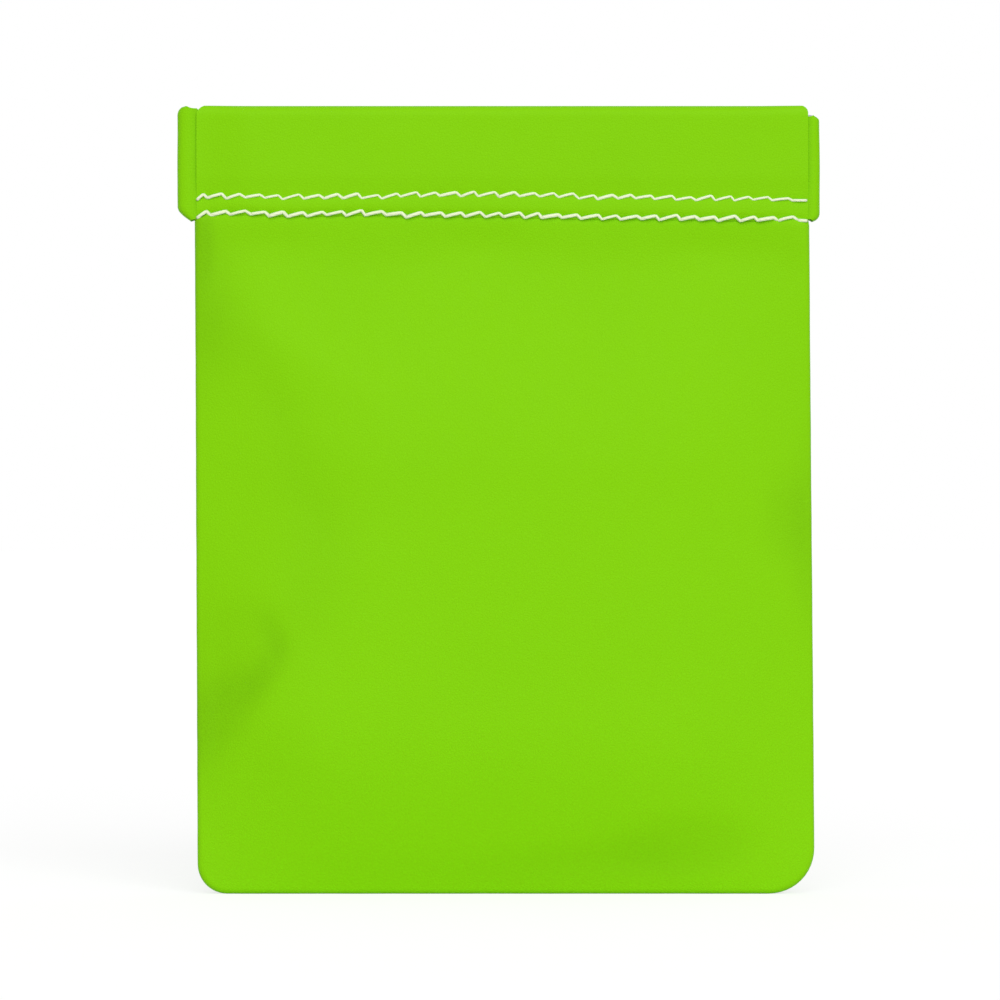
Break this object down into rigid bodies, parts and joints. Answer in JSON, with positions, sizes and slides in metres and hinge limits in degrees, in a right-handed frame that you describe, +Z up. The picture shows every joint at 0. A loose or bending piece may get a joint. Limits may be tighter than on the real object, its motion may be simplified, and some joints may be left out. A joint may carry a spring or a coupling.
{
  "type": "snap-mouth dice pouch",
  "caption": "Flat leatherette pouch with a stitched casing along its mouth; hinged spring blades in the casing bow apart when its ends are squeezed and snap it shut.",
  "frame": {"origin": "middle of the bottom edge, on the surface that the pouch stands on", "axes": "+Z up to the mouth, +X along the mouth to the right as seen from the front, -Y to the front"},
  "size_m": [0.1054, 0.012, 0.128],
  "materials": {
    "leatherette": "fine-grained satin imitation leather, lime green",
    "spring_steel": "bright spring steel",
    "white_thread": "matt white sewing thread",
    "seam_thread": "matt lime green sewing thread"
  },
  "bodies": {
    "back_middle": {"back_panel_middle": "leatherette", "back_casing_middle": "leatherette", "back_blade_middle": "spring_steel", "back_upper_stitches_middle": "white_thread", "back_lower_stitches_middle": "white_thread", "bottom_seam_thread": "seam_thread"},
    "front_middle": {"front_panel_middle": "leatherette", "front_casing_middle": "leatherette", "front_blade_middle": "spring_steel", "front_upper_stitches_middle": "white_thread", "front_lower_stitches_middle": "white_thread"},
    "front_left": {"front_panel_left": "leatherette", "front_casing_left": "leatherette", "front_blade_left": "spring_steel", "front_upper_stitches_left": "white_thread", "front_lower_stitches_left": "white_thread"},
    "front_right": {"front_panel_right": "leatherette", "front_casing_right": "leatherette", "front_blade_right": "spring_steel", "front_upper_stitches_right": "white_thread", "front_lower_stitches_right": "white_thread"},
    "back_left": {"back_panel_left": "leatherette", "back_casing_left": "leatherette", "back_blade_left": "spring_steel", "back_upper_stitches_left": "white_thread", "back_lower_stitches_left": "white_thread", "left_seam_thread": "seam_thread"},
    "back_right": {"back_panel_right": "leatherette", "back_casing_right": "leatherette", "back_blade_right": "spring_steel", "back_upper_stitches_right": "white_thread", "back_lower_stitches_right": "white_thread", "right_seam_thread": "seam_thread"},
    "left_end": {"left_hinge_pin": "spring_steel", "left_end_tab": "leatherette"},
    "right_end": {"right_hinge_pin": "spring_steel", "right_end_tab": "leatherette"}
  },
  "joints": [
    {"name": "mouth_open", "type": "hinge", "parent": "back_middle", "child": "front_middle", "pos_m": [0, 0, 0], "axis": [1, 0, 0], "range_deg": [0, 16], "stiffness_Nm_per_rad": 0.6, "springref_deg": -5.73},
    {"name": "front_left_fold", "type": "hinge", "parent": "front_middle", "child": "front_left", "pos_m": [-0.05, 0, 0], "axis": [-0.2641, 0, -0.9645], "range_deg": [0, 31.5]},
    {"name": "front_right_fold", "type": "hinge", "parent": "front_middle", "child": "front_right", "pos_m": [0.05, 0, 0], "axis": [-0.2641, 0, 0.9645], "range_deg": [0, 31.5]},
    {"name": "back_left_fold", "type": "hinge", "parent": "back_middle", "child": "back_left", "pos_m": [-0.05, 0, 0], "axis": [0.2641, 0, 0.9645], "range_deg": [0, 31.5]},
    {"name": "back_right_fold", "type": "hinge", "parent": "back_middle", "child": "back_right", "pos_m": [0.05, 0, 0], "axis": [0.2641, 0, -0.9645], "range_deg": [0, 31.5]},
    {"name": "left_end_turn", "type": "hinge", "parent": "front_left", "child": "left_end", "pos_m": [-0.05, 0, 0.1205], "axis": [0, 0, 1], "range_deg": [0, 30.5]},
    {"name": "right_end_turn", "type": "hinge", "parent": "front_right", "child": "right_end", "pos_m": [0.05, 0, 0.1205], "axis": [0, 0, -1], "range_deg": [0, 30.5]}
  ],
  "couplings": [
    {"joint": "front_left_fold", "follows": "mouth_open", "ratio": 1.96},
    {"joint": "front_right_fold", "follows": "mouth_open", "ratio": 1.96},
    {"joint": "back_left_fold", "follows": "mouth_open", "ratio": 1.96},
    {"joint": "back_right_fold", "follows": "mouth_open", "ratio": 1.96},
    {"joint": "left_end_turn", "follows": "mouth_open", "ratio": 1.885},
    {"joint": "right_end_turn", "follows": "mouth_open", "ratio": 1.885}
  ]
}
